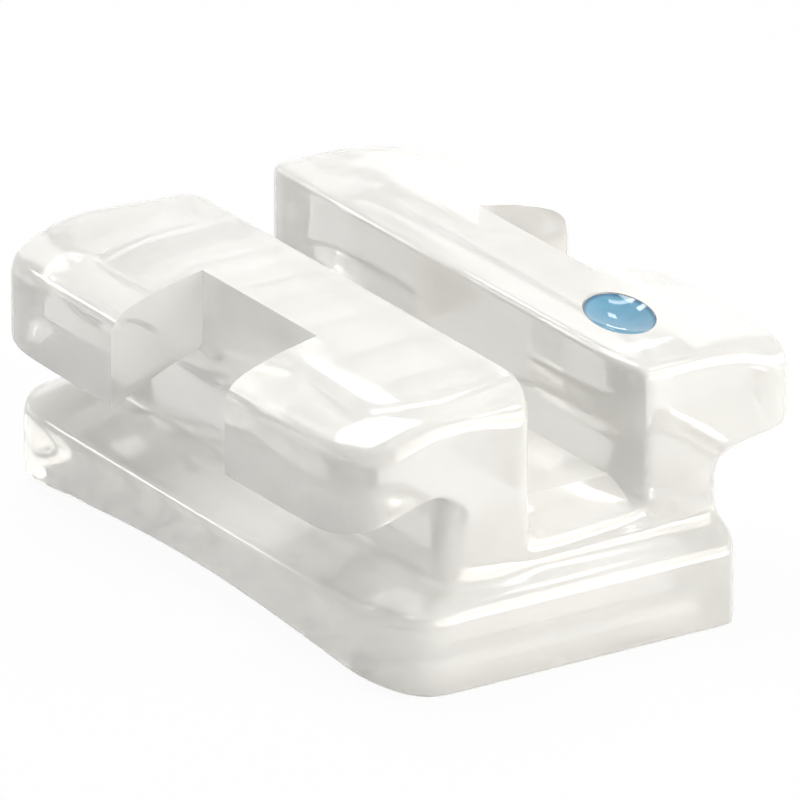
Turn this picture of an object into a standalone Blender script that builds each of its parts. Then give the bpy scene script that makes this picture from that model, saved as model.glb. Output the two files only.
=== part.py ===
# Orthodontic bracket: one moulded translucent ceramic body with a glossy identification dot
# X runs along the archwire slot, +Y points to the wing that carries the dot, +Z points away from the tooth
import math

import bmesh
import bpy
from mathutils import Matrix, Vector

MM = 0.001

# Archwire slot, in millimetres as every size below
SLOT_WIDTH = 0.56
SLOT_DEPTH = 0.72
SLOT_EDGE_ROUNDING = 0.10
SLOT_FLARE = 0.10
RUNOUT_DROP_FRONT = 0.24
RUNOUT_DROP_REAR = 0.18

# Body and tie wings
BODY_HEIGHT = 1.64
BODY_LENGTH = 4.25
WING_SPAN = 3.09
WING_INSET = 0.175
FRONT_WING_CORNER = 0.32
REAR_WING_CORNER = 0.42
NOTCH_WIDTH = 1.205
NOTCH_DEPTH = 0.612
SHOULDER_RUN = 0.47
END_BEND = 0.22
END_DROP = 0.05
END_DROP_FRONT_EDGE = 0.14
END_DROP_REAR_EDGE = 0.04
CROWN_RUN = 0.38
CROWN_FOLLOW = 0.3
CROWN_DROP = 0.045
TIP_DROP = 0.15
TIP_ROUNDING = 0.18

# Underside of the tie wings, where the ligature sits
FRONT_TIP_HEIGHT = 0.92
FRONT_ARCH_HEIGHT = 1.16
FRONT_MID_SHARE = 0.2
FRONT_HOOK_SLOPE = 0.6
REAR_TIP_HEIGHT = 1.06
REAR_ARCH_HEIGHT = 1.00
REAR_MID_SHARE = 0.5
TIP_LIP = 0.07
NECK_FRONT_STEP = 0.017
NECK_BEND = 0.25

# Bonding base
BASE_FRONT_INSET = 0.14
BASE_REAR_INSET = 0.508
BASE_CORNER = 0.45
BASE_REAR_CORNER = 0.34
BASE_THICKNESS = 0.59
BASE_SIDE = 0.28
BASE_TOP_RUN = 0.30
BASE_EDGE_DROP = 0.10
BASE_FLANGE = 0.04
BASE_HEEL = 0.05
ARCH_RISE = 0.16
ARCH_SIDE_SHARE = 0.3

# Dovetail retention grooves in the bonding face
GROOVE_COUNT = 8
GROOVE_PITCH = 0.46
GROOVE_MOUTH = 0.13
GROOVE_FLOOR = 0.19
GROOVE_DEPTH = 0.08
GROOVE_MARGIN = 0.26
GROOVE_OVERSHOOT = 0.1

# Oval dimple and the enamel dot that lines it
DOT_LENGTH = 0.67
DOT_WIDTH = 0.39
DOT_TURN = -17.0
DOT_END_INSET = 0.724
DOT_TIP_INSET = 0.858
DIMPLE_DEPTH = 0.12
DOT_HOLLOW = 0.05
DOT_RIM_STEP = 0.012
DOT_EDGE = 0.012
DOT_CLEARANCE = 0.004
DOT_SEGMENTS = 40
DOT_RINGS = 5

# Share of a plan corner's radius that the end of the control cage steps back
CORNER_CUT = 0.5
SMOOTHING_LEVELS = 2
FLAT_MERGE_ANGLE = 0.5
DIMPLE_OVERSHOOT = 0.2

# Sizes that the body, the wings, the base, the dimple and the dot share
WING_END = BODY_LENGTH / 2 - WING_INSET
WING_REACH = WING_SPAN / 2
NOTCH_WALL = WING_REACH - NOTCH_DEPTH
BASE_FRONT = WING_REACH - BASE_FRONT_INSET
BASE_REAR = WING_REACH - BASE_REAR_INSET
SLOT_FLOOR = BODY_HEIGHT - SLOT_DEPTH
DIMPLE_WALL = DOT_RIM_STEP + DOT_EDGE

# Grid lines of the control cage: middle to right end, front to rear, bottom to top
X_MIDDLE, X_NOTCH, X_SHOULDER, X_BEND, X_WING_END, X_BASE_END = range(6)
Y_FRONT, Y_CROWN_FRONT, Y_NECK_FRONT, Y_EDGE_FRONT, Y_SLOT_FRONT = range(5)
Y_SLOT_REAR, Y_EDGE_REAR, Y_NECK_REAR, Y_CROWN_REAR, Y_REAR = range(5, 10)
Z_BOTTOM, Z_HEEL, Z_SIDE, Z_BASE_TOP, Z_NECK, Z_UNDERSIDE, Z_LIP, Z_SHOULDER, Z_TOP = range(9)


def solid_block(i, j, k):
    """Say whether the block between grid lines i, j, k and the next ones is material."""
    if k < Z_BASE_TOP:
        return j < Y_CROWN_REAR
    if i >= X_WING_END:
        return False
    in_neck = Y_NECK_FRONT <= j < Y_NECK_REAR
    if k < Z_UNDERSIDE:
        return in_neck
    if j == Y_SLOT_FRONT:
        return False
    return in_neck or i >= X_NOTCH


def retreat(x, end, corner):
    """How far a long side steps back near the end, to give the plan its round corner."""
    along = max(0.0, x - (end - corner)) / corner
    return CORNER_CUT * corner * along ** 2


def arch(x):
    """Height of the hollow underside above the plane through its two ends."""
    return ARCH_RISE * (1 - (2 * x / BODY_LENGTH) ** 2)


def cage_x(i):
    return (0.0, NOTCH_WIDTH / 2, WING_END - SHOULDER_RUN, WING_END - END_BEND, WING_END, BODY_LENGTH / 2)[i]


def cage_y(i, j, k):
    x = cage_x(i)
    flared = i == X_WING_END and k > Z_BASE_TOP
    wall = SLOT_WIDTH / 2 + (SLOT_FLARE if flared else 0.0)
    edge = wall + SLOT_EDGE_ROUNDING
    if k >= Z_UNDERSIDE:
        corner = FRONT_WING_CORNER if j <= Y_SLOT_FRONT else REAR_WING_CORNER
        back = retreat(x, WING_END, corner)
        tip = WING_REACH - back
        crown = WING_REACH - CROWN_RUN - back * CROWN_FOLLOW
        return (-tip, -crown, -NOTCH_WALL, -edge, -wall, wall, edge, NOTCH_WALL, crown, tip)[j]
    front = BASE_FRONT - retreat(x, BODY_LENGTH / 2, BASE_CORNER)
    front_run = front - BASE_TOP_RUN
    front_neck = min(NOTCH_WALL + NECK_FRONT_STEP, front_run - BASE_FLANGE)
    rear = BASE_REAR - retreat(x, BODY_LENGTH / 2, BASE_REAR_CORNER)
    rear_neck = min(NOTCH_WALL, rear - BASE_FLANGE)
    return (-front, -front_run, -front_neck, -edge, -wall, wall, edge, rear_neck, rear, rear)[j]


def underside_height(i, j):
    """Height of the wings' underside, and of the slot floor, which runs out downwards at each end."""
    run_out = i == X_WING_END
    front_floor = SLOT_FLOOR - (RUNOUT_DROP_FRONT if run_out else 0.0)
    rear_floor = SLOT_FLOOR - (RUNOUT_DROP_REAR if run_out else 0.0)
    front_mid = FRONT_ARCH_HEIGHT + (FRONT_TIP_HEIGHT - FRONT_ARCH_HEIGHT) * FRONT_MID_SHARE
    rear_mid = REAR_ARCH_HEIGHT + (REAR_TIP_HEIGHT - REAR_ARCH_HEIGHT) * REAR_MID_SHARE
    hook = FRONT_HOOK_SLOPE * retreat(cage_x(i), WING_END, FRONT_WING_CORNER)
    return (FRONT_TIP_HEIGHT + hook, front_mid, FRONT_ARCH_HEIGHT, front_floor, front_floor,
            rear_floor, rear_floor, REAR_ARCH_HEIGHT, rear_mid, REAR_TIP_HEIGHT)[j]


def top_height(i, j):
    """Height of the crowned top: level by the slot, lower at the tips and the ends."""
    drop = (TIP_DROP, CROWN_DROP, 0.0, 0.0, 0.0, 0.0, 0.0, 0.0, CROWN_DROP, TIP_DROP)[j]
    if i == X_WING_END:
        front_edge = j in (Y_EDGE_FRONT, Y_SLOT_FRONT)
        rear_edge = j in (Y_SLOT_REAR, Y_EDGE_REAR)
        drop += END_DROP_FRONT_EDGE if front_edge else END_DROP_REAR_EDGE if rear_edge else END_DROP
    return BODY_HEIGHT - drop


def cage_z(i, j, k):
    rise = arch(cage_x(i))
    if k <= Z_HEEL:
        return rise + (BASE_HEEL if k == Z_HEEL else 0.0)
    if k == Z_SIDE:
        return BASE_SIDE + rise * ARCH_SIDE_SHARE
    if k == Z_BASE_TOP:
        at_edge = j in (Y_FRONT, Y_CROWN_REAR) or i == X_BASE_END
        return BASE_THICKNESS - (BASE_EDGE_DROP if at_edge else 0.0)
    underside = underside_height(i, j)
    if k == Z_NECK:
        at_wall = j in (Y_NECK_FRONT, Y_NECK_REAR)
        return underside - NECK_BEND if at_wall else (underside + BASE_THICKNESS) / 2
    if k == Z_UNDERSIDE:
        return underside
    if k == Z_LIP:
        return underside + TIP_LIP
    if k == Z_SHOULDER:
        by_slot = j in (Y_SLOT_FRONT, Y_SLOT_REAR)
        return top_height(i, j) - (SLOT_EDGE_ROUNDING if by_slot else TIP_ROUNDING)
    return top_height(i, j)


def crisp(p, q):
    """Say whether the cage edge from p to q is a sharp edge of a notch or of the slot floor."""
    (i, j, k), (l, m, n) = p, q
    if i == l == X_BEND and k == n == Z_UNDERSIDE and {j, m} == {Y_SLOT_FRONT, Y_SLOT_REAR}:
        return True
    walls = (Y_FRONT, Y_NECK_FRONT, Y_NECK_REAR, Y_REAR)
    if j == m and k == n and i != l:
        floor_corner = k == Z_UNDERSIDE and j in (Y_SLOT_FRONT, Y_SLOT_REAR)
        notch_rim = k == Z_TOP and j in (Y_NECK_FRONT, Y_NECK_REAR) and max(i, l) <= X_NOTCH
        return floor_corner or notch_rim
    if not (i == l == X_NOTCH and min(k, n) >= Z_UNDERSIDE):
        return False
    upright = j == m and j in walls
    outer = max(j, m) <= Y_NECK_FRONT or min(j, m) >= Y_NECK_REAR
    return upright or (k == n and k in (Z_UNDERSIDE, Z_TOP) and outer)


def cage_mesh(name):
    """Skin the material blocks of the right half with quads, leaving the middle plane open."""
    mesh = bmesh.new()
    corners = {}

    def vertex(p):
        if p not in corners:
            corners[p] = mesh.verts.new(Vector((cage_x(p[0]), cage_y(*p), cage_z(*p))) * MM)
        return corners[p]

    blocks = set()
    for i in range(X_BASE_END):
        for j in range(Y_REAR):
            for k in range(Z_TOP):
                if solid_block(i, j, k):
                    blocks.add((i, j, k))
    for block in sorted(blocks):
        for axis in range(3):
            for side in (0, 1):
                beside = list(block)
                beside[axis] += 2 * side - 1
                if tuple(beside) in blocks or beside[0] < 0:
                    continue
                ring = []
                for du, dv in ((0, 0), (1, 0), (1, 1), (0, 1)):
                    corner = list(block)
                    corner[axis] += side
                    corner[(axis + 1) % 3] += du
                    corner[(axis + 2) % 3] += dv
                    ring.append(vertex(tuple(corner)))
                mesh.faces.new(ring if side else ring[::-1])
    crease = mesh.edges.layers.float.new("crease_edge")
    grid = {vert: p for p, vert in corners.items()}
    for edge in mesh.edges:
        if crisp(grid[edge.verts[0]], grid[edge.verts[1]]):
            edge[crease] = 1.0
    data = bpy.data.meshes.new(name)
    mesh.to_mesh(data)
    mesh.free()
    return data


def add_object(name, data, parent):
    made = bpy.data.objects.new(name, data)
    bpy.context.collection.objects.link(made)
    made.parent = parent
    return made


def add_cutter(name, mesh, parent):
    """A shape that only cuts: drawn as wire and never rendered."""
    data = bpy.data.meshes.new(name)
    mesh.to_mesh(data)
    mesh.free()
    made = add_object(name, data, parent)
    made.hide_render = True
    made.display_type = "WIRE"
    return made


def cut(target, cutter):
    step = target.modifiers.new(cutter.name, "BOOLEAN")
    step.operation = "DIFFERENCE"
    step.object = cutter


def groove_cutter(x, parent):
    """Dovetail bar that cuts one blind groove straight across the bonding face."""
    mesh = bmesh.new()
    mouth = arch(x)
    low = mouth - GROOVE_OVERSHOOT
    high = mouth + GROOVE_DEPTH
    front = GROOVE_MARGIN - BASE_FRONT
    rear = BASE_REAR - GROOVE_MARGIN
    right = [(GROOVE_MOUTH / 2, low), (GROOVE_MOUTH / 2, mouth), (GROOVE_FLOOR / 2, high)]
    section = right + [(-half, z) for half, z in reversed(right)]
    ring = [mesh.verts.new(Vector((x + dx, front, z)) * MM) for dx, z in section]
    face = mesh.faces.new(ring)
    run = bmesh.ops.extrude_face_region(mesh, geom=[face])
    moved = [item for item in run["geom"] if isinstance(item, bmesh.types.BMVert)]
    bmesh.ops.translate(mesh, verts=moved, vec=Vector((0, rear - front, 0)) * MM)
    bmesh.ops.recalc_face_normals(mesh, faces=mesh.faces)
    return add_cutter("groove_cutter", mesh, parent)


def dot_frame():
    """Place and turn of the oval on the rear right wing."""
    middle = Vector((WING_END - DOT_END_INSET, WING_REACH - DOT_TIP_INSET, BODY_HEIGHT))
    place = Matrix.Translation(middle * MM)
    return place @ Matrix.Rotation(math.radians(DOT_TURN), 4, "Z")


def oval_ring(mesh, share, height, inset):
    """One ring of the dimple or the dot, at a share of the full oval and a height below the top."""
    ring = []
    for step in range(DOT_SEGMENTS):
        turn = 2 * math.pi * step / DOT_SEGMENTS
        x = (DOT_LENGTH / 2 - inset) * share * math.cos(turn)
        y = (DOT_WIDTH / 2 - inset) * share * math.sin(turn)
        ring.append(mesh.verts.new(dot_frame() @ (Vector((x, y, height)) * MM)))
    return ring


def bowl(mesh, depth, rim, inset):
    """Rings of a shallow bowl, from its rim down to its middle."""
    rings = []
    for step in range(DOT_RINGS, 0, -1):
        share = step / DOT_RINGS
        rings.append(oval_ring(mesh, share, rim - depth * (1 - share ** 2), inset))
    return rings


def close_rings(mesh, rings, first_height, last_height):
    """Join rings with quads and close both ends with a fan to a middle point."""
    for lower, upper in zip(rings, rings[1:]):
        for step in range(DOT_SEGMENTS):
            after = (step + 1) % DOT_SEGMENTS
            mesh.faces.new((lower[step], lower[after], upper[after], upper[step]))
    for ring, height in ((rings[0], first_height), (rings[-1], last_height)):
        middle = mesh.verts.new(dot_frame() @ Vector((0, 0, height * MM)))
        for step in range(DOT_SEGMENTS):
            mesh.faces.new((ring[step], ring[(step + 1) % DOT_SEGMENTS], middle))
    bmesh.ops.recalc_face_normals(mesh, faces=mesh.faces)


def build_dimple_cutter(parent):
    """Oval pocket with a low upright wall and a bowl for its floor."""
    mesh = bmesh.new()
    top = oval_ring(mesh, 1.0, DIMPLE_OVERSHOOT, 0.0)
    rings = [top] + bowl(mesh, DIMPLE_DEPTH - DIMPLE_WALL, -DIMPLE_WALL, 0.0)
    close_rings(mesh, rings, DIMPLE_OVERSHOOT, -DIMPLE_DEPTH)
    return add_cutter("dimple_cutter", mesh, parent)


def build_dot(parent):
    """Coloured enamel that lines the dimple, clear of it by a hair and hollow on top."""
    mesh = bmesh.new()
    rim = -DOT_RIM_STEP
    hollow = bowl(mesh, DOT_HOLLOW, rim, DOT_CLEARANCE)[::-1]
    lining = bowl(mesh, DIMPLE_DEPTH - DIMPLE_WALL, DOT_CLEARANCE - DIMPLE_WALL, DOT_CLEARANCE)
    close_rings(mesh, hollow + lining, rim - DOT_HOLLOW, DOT_CLEARANCE - DIMPLE_DEPTH)
    data = bpy.data.meshes.new("identification_dot")
    mesh.to_mesh(data)
    mesh.free()
    dot = add_object("identification_dot", data, parent)
    dot.data.materials.append(material("blue_enamel", (0.16, 0.40, 0.60), 0.15))
    dot.data.shade_smooth()
    return dot


def material(name, colour, roughness):
    made = bpy.data.materials.new(name)
    made.use_nodes = True
    shader = made.node_tree.nodes["Principled BSDF"]
    shader.inputs["Base Color"].default_value = (*colour, 1.0)
    shader.inputs["Roughness"].default_value = roughness
    shader.inputs["Metallic"].default_value = 0.0
    return made


def build_body(parent):
    """Moulded ceramic body: base, neck, slot and four tie wings in one piece."""
    body = add_object("bracket_body", cage_mesh("bracket_body"), parent)
    body.data.materials.append(material("polished_ceramic", (0.86, 0.85, 0.82), 0.12))
    body.data.shade_smooth()
    mirror = body.modifiers.new("both_ends", "MIRROR")
    mirror.use_clip = True
    mirror.merge_threshold = 0.00001
    rounding = body.modifiers.new("moulded_rounding", "SUBSURF")
    rounding.levels = SMOOTHING_LEVELS
    rounding.render_levels = SMOOTHING_LEVELS
    flats = body.modifiers.new("plain_flats", "DECIMATE")
    flats.decimate_type = "DISSOLVE"
    flats.angle_limit = math.radians(FLAT_MERGE_ANGLE)
    cut(body, build_dimple_cutter(parent))
    for step in range(GROOVE_COUNT):
        cut(body, groove_cutter((step - (GROOVE_COUNT - 1) / 2) * GROOVE_PITCH, parent))
    return body


def stand_on_ends(body, parent):
    """Lower everything so that the two ends of the arched base touch the ground plane."""
    bpy.context.view_layer.update()
    shape = body.evaluated_get(bpy.context.evaluated_depsgraph_get()).to_mesh()
    parent.location.z = -min(vert.co.z for vert in shape.vertices)
    bpy.context.view_layer.update()


def main():
    for old in list(bpy.data.objects):
        bpy.data.objects.remove(old)
    stand = bpy.data.objects.new("bracket", None)
    bpy.context.collection.objects.link(stand)
    body = build_body(stand)
    build_dot(stand)
    stand_on_ends(body, stand)


main()
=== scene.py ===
import math

import bmesh
import bpy
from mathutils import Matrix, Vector


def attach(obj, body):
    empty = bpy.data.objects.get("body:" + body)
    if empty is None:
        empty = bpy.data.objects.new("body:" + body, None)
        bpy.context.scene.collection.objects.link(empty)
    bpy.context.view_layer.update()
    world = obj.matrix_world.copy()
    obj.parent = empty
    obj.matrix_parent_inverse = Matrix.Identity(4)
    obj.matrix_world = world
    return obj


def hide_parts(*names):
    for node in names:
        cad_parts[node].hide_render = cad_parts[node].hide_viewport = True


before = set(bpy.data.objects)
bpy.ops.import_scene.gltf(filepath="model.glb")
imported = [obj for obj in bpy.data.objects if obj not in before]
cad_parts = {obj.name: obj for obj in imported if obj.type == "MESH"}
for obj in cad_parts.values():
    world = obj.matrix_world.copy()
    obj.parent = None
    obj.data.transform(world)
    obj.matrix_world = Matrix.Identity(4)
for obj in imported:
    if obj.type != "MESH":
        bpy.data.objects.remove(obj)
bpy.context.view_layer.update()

# Ceramic body: base, neck, open archwire slot and four tie wings, moulded in one
# piece, fired to a translucent white ceramic and polished. It is shaped here at one
# unit to the millimetre, because its parts are tiny, and brought to metres at the end.
MM = 0.001
HEIGHT = 1.64
SLOT_FLOOR = 0.92
SLOT_HALF = 0.28
SLOT_EDGE = 0.38
SLOT_FLARE = 0.1
CORNER_START = 1.48
RUNOUT_START = 1.73
WING_END = 1.95
WING_TIP = 1.545
WING_CROWN = 1.165
WING_CORNERS = (0.32, 0.42)
NOTCH_WALL = 0.933
NOTCH_SIDE = 0.6025
BAR_STEPS = (0.07, 0.47, 0.18)
NECK_FRONT = -0.95
NECK_MIDDLE = 0.795
BASE_END = 2.125
BASE_FRONT = -1.405
BASE_REAR = 1.037
BASE_TOP = 0.59
BASE_RUN = -1.105
BASE_BELT = 0.28
BASE_FOOT = 0.05
BASE_CORNERS = (0.45, 0.34)
BASE_ARCH = 0.16
COLUMNS = (0.0, NOTCH_SIDE, CORNER_START, RUNOUT_START, WING_END, BASE_END)
FAR = 9.0


def pick(low, high, kind="VERT"):
    """Select only the vertices, edges or faces that lie inside a box."""
    bpy.ops.mesh.select_mode(type=kind)
    bpy.ops.mesh.select_all(action="DESELECT")
    mesh = bmesh.from_edit_mesh(bpy.context.object.data)
    items = {"VERT": mesh.verts, "EDGE": mesh.edges, "FACE": mesh.faces}[kind]
    slack = 0.001
    for item in items:
        points = [item.co] if kind == "VERT" else [vert.co for vert in item.verts]
        item.select_set(all(a - slack <= c <= b + slack for p in points for a, c, b in zip(low, p, high)))
    bmesh.update_edit_mesh(bpy.context.object.data)


def nudge(low, high, x=0.0, y=0.0, z=0.0):
    """Move the vertices that lie inside a box."""
    pick(low, high)
    bpy.ops.transform.translate(value=(x, y, z))


def pull(low, high, *steps):
    """Extrude the faces that lie inside a box, once for each step."""
    pick(low, high, "FACE")
    for step in steps:
        bpy.ops.mesh.extrude_region_move(TRANSFORM_OT_translate={"value": step})


def split(axis, *places):
    """Cut the whole mesh across an axis at each place."""
    for place in places:
        bpy.ops.mesh.select_all(action="SELECT")
        normal = [0.0, 0.0, 0.0]
        normal[axis] = 1.0
        spot = [value * place for value in normal]
        bpy.ops.mesh.bisect(plane_co=spot, plane_no=normal, threshold=0.0001)


def crease(low, high, value=1.0):
    """Keep the edges that lie inside a box tight when the mesh is rounded."""
    pick(low, high, "EDGE")
    bpy.ops.transform.edge_crease(value=value)


def step_back(x, end, corner):
    """How far a side steps back near the end, which rounds the corner in plan."""
    return 0.5 * corner * max(0.0, (x - end + corner) / corner) ** 2


def arch_at(x):
    """Height of the arched underside of the base at a place along the slot."""
    return BASE_ARCH * (1 - (x / BASE_END) ** 2)


bpy.ops.object.select_all(action="DESELECT")
bpy.ops.mesh.primitive_cube_add(
    size=1,
    location=(BASE_END / 2, (BASE_FRONT + BASE_REAR) / 2, BASE_TOP / 2),
    scale=(BASE_END, BASE_REAR - BASE_FRONT, BASE_TOP),
)
ceramic = bpy.context.object
ceramic.name = "ceramic_bracket"
bpy.ops.object.transform_apply(location=True, rotation=False, scale=True)
bpy.ops.object.mode_set(mode="EDIT")
split(0, *COLUMNS[1:-1])
split(1, BASE_RUN, NECK_FRONT, -SLOT_EDGE, -SLOT_HALF, SLOT_HALF, SLOT_EDGE, NOTCH_WALL)
split(2, BASE_FOOT, BASE_BELT)

# The neck rises from the base, then the two bars beside the slot, then the wings
neck_steps = (0, 0, NECK_MIDDLE - BASE_TOP), (0, 0, SLOT_FLOOR - NECK_MIDDLE)
pull((0, NECK_FRONT, BASE_TOP), (WING_END, NOTCH_WALL, BASE_TOP), *neck_steps)
for low, high in ((NECK_FRONT, -SLOT_HALF), (SLOT_HALF, NOTCH_WALL)):
    pull((0, low, SLOT_FLOOR), (WING_END, high, SLOT_FLOOR), *((0, 0, step) for step in BAR_STEPS))
nudge((0, NECK_FRONT, SLOT_FLOOR), (FAR, NECK_FRONT, HEIGHT), y=-NOTCH_WALL - NECK_FRONT)
for side in (-1, 1):
    wall = side * NOTCH_WALL
    out = (0, side * (WING_CROWN - NOTCH_WALL), 0), (0, side * (WING_TIP - WING_CROWN), 0)
    pull((NOTCH_SIDE, wall, SLOT_FLOOR), (WING_END, wall, HEIGHT), *out)

# The notches and the floor corners of the slot keep sharp edges
for side in (-1, 1):
    near, far = sorted((side * NOTCH_WALL, side * WING_TIP))
    for height in (SLOT_FLOOR, HEIGHT):
        crease((NOTCH_SIDE, near, height), (NOTCH_SIDE, far, height))
    for place in (side * NOTCH_WALL, side * WING_TIP):
        crease((NOTCH_SIDE, place, SLOT_FLOOR), (NOTCH_SIDE, place, HEIGHT))
    crease((0, side * NOTCH_WALL, HEIGHT), (NOTCH_SIDE, side * NOTCH_WALL, HEIGHT))
    crease((0, side * SLOT_HALF, SLOT_FLOOR), (WING_END, side * SLOT_HALF, SLOT_FLOOR))
crease((RUNOUT_START, -SLOT_HALF, SLOT_FLOOR), (RUNOUT_START, SLOT_HALF, SLOT_FLOOR))

# Folds that the polishing left tight: along the crown, round the wing ends and the base
CROWN_FOLD = 0.5
UNDER_FOLD = 0.4
TOP_FOLD = 0.25
for side in (-1, 1):
    near, far = sorted((side * NOTCH_WALL, side * WING_TIP))
    crease((NOTCH_SIDE, side * WING_CROWN, HEIGHT), (WING_END, side * WING_CROWN, HEIGHT), CROWN_FOLD)
    crease((NOTCH_SIDE, side * WING_TIP, SLOT_FLOOR), (WING_END, side * WING_TIP, SLOT_FLOOR), UNDER_FOLD)
    crease((WING_END, near, SLOT_FLOOR), (WING_END, far, SLOT_FLOOR), UNDER_FOLD)
    inner = side * SLOT_EDGE
    crease((WING_END, min(inner, far), HEIGHT), (WING_END, max(inner, far), HEIGHT), TOP_FOLD)
crease((0, BASE_RUN, BASE_TOP), (BASE_END, BASE_RUN, BASE_TOP), CROWN_FOLD)
crease((0, BASE_FRONT, BASE_TOP), (BASE_END, BASE_FRONT, BASE_TOP), TOP_FOLD)
crease((BASE_END, BASE_FRONT, BASE_TOP), (BASE_END, BASE_REAR, BASE_TOP), TOP_FOLD)

# Plan corners of the base and the wings step back, and the slot mouths flare
CROWN_FOLLOW = 0.3
for x in COLUMNS:
    front, rear = (step_back(x, BASE_END, corner) for corner in BASE_CORNERS)
    nudge((x, BASE_FRONT, 0), (x, BASE_RUN, BASE_TOP), y=front)
    nudge((x, BASE_REAR, 0), (x, BASE_REAR, BASE_TOP), y=-rear)
    front, rear = (step_back(x, WING_END, corner) for corner in WING_CORNERS)
    if x <= WING_END:
        nudge((x, -WING_TIP, SLOT_FLOOR), (x, -WING_TIP, HEIGHT), y=front)
        nudge((x, -WING_CROWN, SLOT_FLOOR), (x, -WING_CROWN, HEIGHT), y=front * CROWN_FOLLOW)
        nudge((x, WING_TIP, SLOT_FLOOR), (x, WING_TIP, HEIGHT), y=-rear)
        nudge((x, WING_CROWN, SLOT_FLOOR), (x, WING_CROWN, HEIGHT), y=-rear * CROWN_FOLLOW)
nudge((BASE_END, NECK_FRONT, 0), (BASE_END, NECK_FRONT, BASE_TOP), y=0.11)
nudge((BASE_END, NOTCH_WALL, 0), (BASE_END, NOTCH_WALL, BASE_TOP), y=-0.106)
for side in (-1, 1):
    near, far = sorted((side * SLOT_HALF, side * SLOT_EDGE))
    nudge((WING_END, near, 0.7), (WING_END, far, HEIGHT), y=side * SLOT_FLARE)

# Tops are level beside the slot, crowned towards the tips and lower at the ends
TIP_SIDE = 1.3
CROWN_SIDE = 1.0
TOP_ROWS = 1.4
UPPER_ROWS = 1.2
LIP_ROW = 1.5
for side in (-1, 1):
    near, far = sorted((side * TIP_SIDE, side * FAR))
    nudge((0, near, TOP_ROWS), (FAR, far, FAR), z=-0.15)
    near, far = sorted((side * CROWN_SIDE, side * TIP_SIDE))
    nudge((0, near, TOP_ROWS), (FAR, far, FAR), z=-0.045)
nudge((0, -SLOT_HALF, TOP_ROWS), (1.9, SLOT_HALF, LIP_ROW), z=0.08)
mouth_half = SLOT_HALF + SLOT_FLARE
nudge((WING_END, -mouth_half, TOP_ROWS), (WING_END, mouth_half, LIP_ROW), z=0.08)
for low, high, drop in ((-FAR, -0.6, 0.05), (-0.5, 0, 0.14), (0, 0.5, 0.04), (0.6, FAR, 0.05)):
    nudge((WING_END, low, UPPER_ROWS), (WING_END, high, FAR), z=-drop)

# Undersides: the front wings hook down over the ligature, the rear ones sweep
UNDER_LOW = 0.9
UNDER_HIGH = 1.0
for x in COLUMNS[:-1]:
    hook = 0.6 * step_back(x, WING_END, WING_CORNERS[0])
    nudge((x, -FAR, UNDER_LOW), (x, -TIP_SIDE, UNDER_HIGH), z=hook)
nudge((0, -TIP_SIDE, UNDER_LOW), (FAR, -CROWN_SIDE, UNDER_HIGH), z=0.192)
nudge((0, -NOTCH_WALL, UNDER_LOW), (FAR, -NOTCH_WALL, UNDER_HIGH), z=0.24)
nudge((0, NOTCH_WALL, UNDER_LOW), (FAR, NOTCH_WALL, UNDER_HIGH), z=0.08)
nudge((0, CROWN_SIDE, UNDER_LOW), (FAR, TIP_SIDE, UNDER_HIGH), z=0.11)
nudge((0, TIP_SIDE, UNDER_LOW), (FAR, FAR, UNDER_HIGH), z=0.14)
nudge((0, NECK_FRONT, NECK_MIDDLE), (FAR, NECK_FRONT, NECK_MIDDLE), z=0.115)
nudge((0, NOTCH_WALL, NECK_MIDDLE), (FAR, NOTCH_WALL, NECK_MIDDLE), z=-0.045)

# The slot floor runs out downwards at each end, almost to the top of the base
for low, high, drop, low_drop in ((-0.5, -0.3, 0.24, 0.16), (0.3, 0.5, 0.18, 0.13)):
    nudge((WING_END, low, UNDER_LOW), (WING_END, high, UNDER_HIGH), z=-drop)
    nudge((WING_END, low, NECK_MIDDLE), (WING_END, high, NECK_MIDDLE), z=-low_drop)

# The base: its top edge falls away and its underside arches along the slot
TOP_FALL = 0.1
for x in COLUMNS:
    front = BASE_FRONT + step_back(x, BASE_END, BASE_CORNERS[0])
    rear = BASE_REAR - step_back(x, BASE_END, BASE_CORNERS[1])
    if x < BASE_END:
        nudge((x, front, BASE_TOP), (x, front, BASE_TOP), z=-TOP_FALL)
        nudge((x, rear, BASE_TOP), (x, rear, BASE_TOP), z=-TOP_FALL)
    nudge((x, -FAR, BASE_BELT), (x, FAR, BASE_BELT), z=arch_at(x) * 0.3)
    nudge((x, -FAR, 0.0), (x, FAR, BASE_FOOT), z=arch_at(x))
nudge((BASE_END, -FAR, BASE_TOP), (BASE_END, FAR, BASE_TOP), z=-TOP_FALL)

# The other end mirrors this one, and the whole body is rounded as moulded
pick((0, -FAR, -FAR), (0, FAR, FAR), "FACE")
bpy.ops.mesh.delete(type="FACE")
bpy.ops.object.mode_set(mode="OBJECT")
mirror = ceramic.modifiers.new("both_ends", "MIRROR")
mirror.use_clip = True
mirror.merge_threshold = 0.0001
rounding = ceramic.modifiers.new("moulded_rounding", "SUBSURF")
rounding.levels = rounding.render_levels = 3
for modifier in ("both_ends", "moulded_rounding"):
    bpy.ops.object.modifier_apply(modifier=modifier)


def solid_cut(target, tool):
    """Cut one shape out of another and clear the tool away."""
    bpy.context.view_layer.objects.active = target
    step = target.modifiers.new("cut", "BOOLEAN")
    step.operation = "DIFFERENCE"
    step.object = tool
    bpy.ops.object.modifier_apply(modifier="cut")
    bpy.data.objects.remove(tool)


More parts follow.
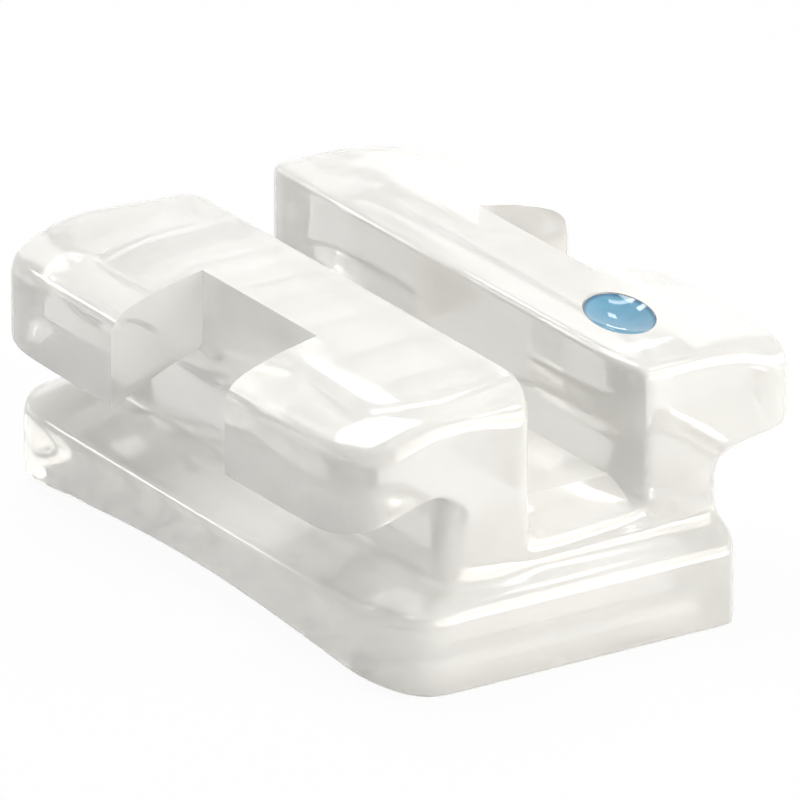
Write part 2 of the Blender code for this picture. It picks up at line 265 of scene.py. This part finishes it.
# Retention grooves: eight blind dovetail slots across the bonding face, moulded with
# the body, which give the cement its grip. One bar is shaped, copied and cut out.
GROOVES = 8
GROOVE_PITCH = 0.46
GROOVE_WIDTH = 0.13
GROOVE_FLARE = 0.03
GROOVE_DEPTH = 0.08
GROOVE_MOUTH = 0.1
GROOVE_LAND = 0.26
FACE_MIDDLE = (BASE_FRONT + BASE_REAR) / 2
bpy.ops.object.select_all(action="DESELECT")
bpy.ops.mesh.primitive_cube_add(
    size=1,
    location=(0, FACE_MIDDLE, (GROOVE_DEPTH - GROOVE_MOUTH) / 2),
    scale=(GROOVE_WIDTH, BASE_REAR - BASE_FRONT - 2 * GROOVE_LAND, GROOVE_DEPTH + GROOVE_MOUTH),
)
groove_bar = bpy.context.object
bpy.ops.object.transform_apply(location=True, rotation=False, scale=True)
bpy.ops.object.mode_set(mode="EDIT")
split(2, 0.0)
for side in (-1, 1):
    wall = side * GROOVE_WIDTH / 2
    nudge((wall, -FAR, GROOVE_DEPTH), (wall, FAR, GROOVE_DEPTH), x=side * GROOVE_FLARE)
bpy.ops.object.mode_set(mode="OBJECT")
for step in range(GROOVES):
    place = (step - (GROOVES - 1) / 2) * GROOVE_PITCH
    bpy.ops.object.select_all(action="DESELECT")
    groove_bar.select_set(True)
    bpy.context.view_layer.objects.active = groove_bar
    bpy.ops.object.duplicate(linked=False)
    bar = bpy.context.object
    bpy.ops.transform.translate(value=(place, 0, arch_at(place)))
    solid_cut(ceramic, bar)
bpy.data.objects.remove(groove_bar)

# Dimple for the identification dot: an oval pocket in the top of the rear right wing,
# moulded with the body, with a low upright wall and a bowl for its floor.
DOT_SPOT = Vector((1.226, 0.687, HEIGHT))
DOT_TURN = math.radians(-17)
DIMPLE_SIZE = (0.67, 0.39)
DIMPLE_WALL = 0.024
BOWL_DEPTH = 0.096
BOWL_RINGS = 12


def bowl_wall(depth):
    """Extrude the rim that is selected into a bowl of rounded section, closed in its middle."""
    last = 1.0
    for ring in range(1, BOWL_RINGS + 1):
        share = math.cos(math.pi / 2 * ring / BOWL_RINGS)
        drop = depth * (last ** 2 - share ** 2)
        bpy.ops.mesh.extrude_edges_move(TRANSFORM_OT_translate={"value": (0, 0, -drop)})
        if ring == BOWL_RINGS:
            bpy.ops.mesh.merge(type="CENTER")
        else:
            bpy.ops.transform.resize(value=(share / last, share / last, 1), center_override=DOT_SPOT)
        last = share


def oval_rim(name, size, rim):
    """Add an oval ring at the dot's place and turn, left in edit mode with all of it selected."""
    bpy.ops.object.select_all(action="DESELECT")
    bpy.ops.mesh.primitive_circle_add(
        vertices=96, radius=0.5, location=DOT_SPOT + Vector((0, 0, rim)), rotation=(0, 0, DOT_TURN)
    )
    made = bpy.context.object
    made.scale = (*size, 1)
    made.name = name
    bpy.ops.object.transform_apply(location=True, rotation=True, scale=True)
    bpy.ops.object.mode_set(mode="EDIT")
    bpy.ops.mesh.select_all(action="SELECT")
    return made


def close_shell():
    """Turn all faces outwards and leave edit mode."""
    bpy.ops.mesh.select_all(action="SELECT")
    bpy.ops.mesh.normals_make_consistent(inside=False)
    bpy.ops.object.mode_set(mode="OBJECT")


dimple = oval_rim("dimple", DIMPLE_SIZE, 0.0)
bpy.ops.mesh.extrude_edges_move(TRANSFORM_OT_translate={"value": (0, 0, -DIMPLE_WALL)})
bowl_wall(BOWL_DEPTH)
pick((0, 0, HEIGHT), (FAR, FAR, HEIGHT), "EDGE")
bpy.ops.mesh.extrude_edges_move(TRANSFORM_OT_translate={"value": (0, 0, 0.3)})
bpy.ops.mesh.edge_face_add()
close_shell()
solid_cut(ceramic, dimple)


def bring_home(piece, angle):
    """Lower a piece by the arch's overshoot, bring it from millimetres to metres and smooth it."""
    bpy.ops.object.select_all(action="DESELECT")
    piece.select_set(True)
    bpy.context.view_layer.objects.active = piece
    bpy.ops.transform.translate(value=(0, 0, -DROP))
    bpy.ops.object.transform_apply(location=True, rotation=False, scale=True)
    bpy.ops.transform.resize(value=(MM, MM, MM), center_override=(0, 0, 0))
    bpy.ops.object.transform_apply(location=True, rotation=False, scale=True)
    bpy.ops.object.shade_smooth_by_angle(angle=math.radians(angle))


DROP = min(vert.co.z for vert in ceramic.data.vertices)
bring_home(ceramic, 35)


class Wire:
    """A socket of a material's nodes, on which Python's own sums add Math nodes."""

    def __init__(self, tree, socket=None):
        self.tree = tree
        self.socket = socket

    def node(self, kind, settings, inputs, output=0):
        """Add a node with its settings, then the values or links of its sockets."""
        made = self.tree.nodes.new(kind)
        for name, value in settings.items():
            setattr(made, name, value)
        for name, value in inputs.items():
            if isinstance(value, Wire):
                self.tree.links.new(value.socket, made.inputs[name])
            else:
                made.inputs[name].default_value = value
        return Wire(self.tree, made.outputs[output])

    def sum(self, operation, first, second):
        return self.node("ShaderNodeMath", {"operation": operation}, {0: first, 1: second})

    def __add__(self, other):
        return self.sum("ADD", self, other)

    def __sub__(self, other):
        return self.sum("SUBTRACT", self, other)

    def __mul__(self, other):
        return self.sum("MULTIPLY", self, other)

    def __rsub__(self, other):
        return self.sum("SUBTRACT", other, self)

    def __pow__(self, other):
        return self.sum("POWER", self, other)

    __radd__ = __add__
    __rmul__ = __mul__

    def larger(self, other):
        """The larger of this value and another."""
        return self.sum("MAXIMUM", self, other)

    def between(self, low, high):
        """Rise smoothly from 0 at one value to 1 at another."""
        inputs = {"Value": self, "From Min": low, "From Max": high}
        return self.node("ShaderNodeMapRange", {"interpolation_type": "SMOOTHSTEP"}, inputs)

    def blend(self, first, second):
        """A colour that goes from the first to the second as this value goes from 0 to 1."""
        ends = [value if isinstance(value, Wire) else (*value, 1.0) for value in (first, second)]
        return self.node("ShaderNodeMix", {"data_type": "RGBA"}, {0: self, 6: ends[0], 7: ends[1]}, output=2)


def finish(name, piece):
    """A new material on a piece: its shader, and a wire to start its nodes from."""
    made = bpy.data.materials.new(name)
    made.use_nodes = True
    piece.data.materials.clear()
    piece.data.materials.append(made)
    return made.node_tree.nodes["Principled BSDF"], Wire(made.node_tree)


def feed(shader, **sockets):
    """Link wires to a shader's sockets; underscores in the names stand for spaces."""
    for name, wire in sockets.items():
        wire.tree.links.new(wire.socket, shader.inputs[name.replace("_", " ")])


# Finish of the ceramic: polished translucent alumina, faintly mottled, with fine
# grinding lines along the slot and a matt, blasted face where the cement goes.
CERAMIC_DEEP = (0.915, 0.905, 0.872)
CERAMIC_PALE = (0.94, 0.932, 0.905)
shader, start = finish("polished_ceramic", ceramic)
shader.inputs["IOR"].default_value = 1.7
shader.inputs["Transmission Weight"].default_value = 0.6
place = start.node("ShaderNodeTexCoord", {}, {}, output="Object")
facing = start.node("ShaderNodeTexCoord", {}, {}, output="Normal")
along, across, up = (
    start.node("ShaderNodeSeparateXYZ", {}, {0: place}, output=axis) * (1 / MM) for axis in "XYZ"
)
looking_up = start.node("ShaderNodeSeparateXYZ", {}, {0: facing}, output="Z")
cloud = start.node("ShaderNodeTexNoise", {}, {"Vector": place, "Scale": 1600.0, "Detail": 3.0})
grain = start.node("ShaderNodeTexNoise", {}, {"Vector": place, "Scale": 22000.0, "Detail": 2.0})
long_way = start.node("ShaderNodeMapping", {}, {"Vector": place, "Scale": (0.03, 1.0, 1.0)})
lines = start.node("ShaderNodeTexNoise", {}, {"Vector": long_way, "Scale": 70000.0, "Detail": 1.0})
above_arch = up - BASE_ARCH + along * along * (BASE_ARCH / BASE_END ** 2) + DROP
within_width = (1 - (across - FACE_MIDDLE) ** 2.0).between(0.0, 0.04)
within_length = (3.2 - along * along).between(0.0, 0.1)
facing_down = (-0.5 - looking_up).between(0.0, 0.2)
bonding = (0.1 - above_arch).between(0.0, 0.015) * (within_width * within_length).larger(facing_down)
slot = (0.15 - across * across).between(0.0, 0.02) * (up - 0.88).between(0.0, 0.01)
tone = cloud.between(0.3, 0.7)
speck = grain.between(0.35, 0.65)
rough = 0.06 + tone * 0.04 + speck * 0.02 + bonding * 0.45 + slot * lines * 0.05
relief = grain + slot * lines * 0.6 + bonding * grain * 4.0
bump = start.node("ShaderNodeBump", {}, {"Strength": 0.12, "Distance": 0.000002, "Height": relief})
feed(shader, Base_Color=tone.blend(CERAMIC_DEEP, CERAMIC_PALE), Roughness=rough, Normal=bump)
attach(ceramic, "root")
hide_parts("bracket_body")

# Identification dot: glossy blue marking colour that dried in the dimple as a thin,
# hollow coat. It shows the dentist which corner of the bracket goes where. It stays a
# little cloudy, and a thin darker ring of painted shade runs round its edge against the dimple's wall.
DOT_SIZE = (0.662, 0.382)
DOT_RIM = -0.02
DOT_WALL = 0.008
DOT_HOLLOW = 0.05
BLUE_DEEP = (0.078, 0.240, 0.360)
BLUE_PALE = (0.094, 0.268, 0.390)
# Darker blue for the painted shade round the dot's edge
BLUE_PAINTED_SHADE = (0.030, 0.125, 0.220)
dot = oval_rim("blue_dot", DOT_SIZE, DOT_RIM)
bowl_wall(BOWL_DEPTH)
pick((0, 0, HEIGHT + DOT_RIM), (FAR, FAR, HEIGHT + DOT_RIM), "EDGE")
bpy.ops.mesh.extrude_edges_move(TRANSFORM_OT_translate={"value": (0, 0, DOT_WALL)})
bowl_wall(DOT_HOLLOW)
close_shell()
bring_home(dot, 40)
shader, start = finish("blue_enamel", dot)
shader.inputs["IOR"].default_value = 1.5
shader.inputs["Coat Roughness"].default_value = 0.02
shader.inputs["Coat Weight"].default_value = 0.15
place = start.node("ShaderNodeTexCoord", {}, {}, output="Object")
cloud = start.node("ShaderNodeTexNoise", {}, {"Vector": place, "Scale": 9000.0, "Detail": 3.0})
oval_place = {
    "Vector": place,
    "Location": (DOT_SPOT.x * MM, DOT_SPOT.y * MM, (HEIGHT - DROP) * MM),
    "Rotation": (0, 0, DOT_TURN),
    "Scale": (DOT_SIZE[0] / 2 * MM, DOT_SIZE[1] / 2 * MM, 1.0),
}
oval = start.node("ShaderNodeMapping", {"vector_type": "TEXTURE"}, oval_place)
reach = start.node("ShaderNodeVectorMath", {"operation": "LENGTH"}, {0: oval}, output="Value")
tone = cloud.between(0.3, 0.7).blend(BLUE_DEEP, BLUE_PALE)
# Painted shade: the blue darkens in a thin ring round the edge of the dot, against the dimple's wall
painted_rim_shade = reach.between(0.88, 0.97)
feed(shader, Base_Color=painted_rim_shade.blend(tone, BLUE_PAINTED_SHADE), Roughness=0.04 + cloud * 0.04)
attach(dot, "root")
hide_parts("identification_dot")

# Floor: a plain pale table. Seen directly it is white with a trace of the bracket's
# shadow, and it lights the bracket only as much as its own grey does.
TABLE_GREY = (0.62, 0.62, 0.62, 1)
WHITE = (1, 1, 1, 1)
bpy.ops.object.select_all(action="DESELECT")
bpy.ops.mesh.primitive_plane_add(size=2)
floor = bpy.context.object
floor.name = "floor"
shader, start = finish("white_table", floor)
shader.inputs["Base Color"].default_value = TABLE_GREY
shader.inputs["Roughness"].default_value = 0.9


def seen_directly(start):
    """1 for a ray from the camera, from a mirror surface or from inside the ceramic, else 0."""
    rays = start.tree.nodes.new("ShaderNodeLightPath").outputs
    camera, glossy, through = (
        Wire(start.tree, rays[f"Is {kind} Ray"]) for kind in ("Camera", "Glossy", "Transmission")
    )
    return camera.larger(through).larger(glossy)


seen = seen_directly(start)
glow = start.node("ShaderNodeEmission", {}, {"Color": WHITE, "Strength": 1.0})
mix = start.node("ShaderNodeMixShader", {}, {0: seen * 0.95, 1: Wire(start.tree, shader.outputs[0]), 2: glow})
start.tree.links.new(mix.socket, start.tree.nodes["Material Output"].inputs["Surface"])

# Camera: the photograph's own view, from the front right and a little above, far off
# with a narrow lens, so that it is close to parallel projection
PICTURE_WIDTH = 4.545
look_at = Vector((0, 0.010, 0.844 - DROP)) * MM
around, up = math.radians(57.17), math.radians(21.9)
toward = Vector((math.sin(around) * math.cos(up), -math.cos(around) * math.cos(up), math.sin(up)))
lens = bpy.data.cameras.new("camera")
lens.angle = math.radians(3.0)
lens.clip_start = 0.001
camera = bpy.data.objects.new("camera", lens)
bpy.context.collection.objects.link(camera)
camera.location = look_at + toward * (PICTURE_WIDTH * MM / 2 / math.tan(lens.angle / 2))
camera.rotation_euler = (-toward).to_track_quat("-Z", "Y").to_euler()
bpy.context.scene.camera = camera

# Light: a pale room, which is white where it is seen directly, and soft boxes round
# the bracket, all at a plain level
ROOM_GLOW = 0.36
world = bpy.data.worlds.new("pale_room")
bpy.context.scene.world = world
world.use_nodes = True
backdrop = world.node_tree.nodes["Background"]
backdrop.inputs["Color"].default_value = WHITE
feed(backdrop, Strength=ROOM_GLOW + seen_directly(Wire(world.node_tree)) * (1 - ROOM_GLOW))


def softbox(name, turn, height, wide, high, glow, spot=(0, 0, 0.85), distance=40, colour=(1, 1, 1)):
    """A rectangular lamp that faces a spot on the bracket from a compass turn and a height.

    Its width and height are the angles it fills, seen from the spot, and its glow is
    how many times brighter than white it looks."""
    around, up = math.radians(turn), math.radians(height)
    aim = Vector((math.cos(around) * math.cos(up), math.sin(around) * math.cos(up), math.sin(up)))
    data = bpy.data.lights.new(name, "AREA")
    data.shape = "RECTANGLE"
    data.color = colour
    data.size = 2 * distance * MM * math.tan(math.radians(wide / 2))
    data.size_y = 2 * distance * MM * math.tan(math.radians(high / 2))
    data.energy = glow * math.pi * data.size * data.size_y
    lamp = bpy.data.objects.new(name, data)
    bpy.context.collection.objects.link(lamp)
    lamp.location = (Vector(spot) + aim * distance) * MM
    lamp.rotation_euler = (-aim).to_track_quat("-Z", "Y").to_euler()


# The wide boxes: the key from high on the left, a dim sky behind, and the warm right
softbox("key", -170, 66, 36, 42, 5.7, spot=(1.84, -1.27, 1.50))
softbox("sky", 60, 60, 80, 60, 0.5)
softbox("right", 34, 16, 60, 50, 2.9, colour=(1.0, 0.965, 0.90))

# The small ones, which put the bright lines and patches on the folds and in the dot
softbox("crown_lamp", 156.4, 33.2, 6, 4, 7.0, spot=(1.17, -1.06, 1.60), distance=8)
softbox("curve_lamp", 150, 40.8, 24, 3, 5.0, spot=(1.67, -0.99, 1.59), distance=8)
softbox("front_left", -150, 23, 8, 5, 6.0)
softbox("low_right", 32, 6, 26, 14, 3.5, spot=(2.12, -0.29, 0.38))
softbox("dot_lamp", 143, 31, 5, 6, 4.0, spot=(1.07, 0.74, 1.58), distance=8)
softbox("low_dot_lamp", 143.6, 9.7, 7, 2, 3.0, spot=(1.28, 0.62, 1.58), distance=8)
softbox("right_back", 68, 56.5, 8, 5, 5.0, spot=(2.05, -0.25, 0.52), distance=6)

bpy.context.scene.view_settings.view_transform = "Standard"
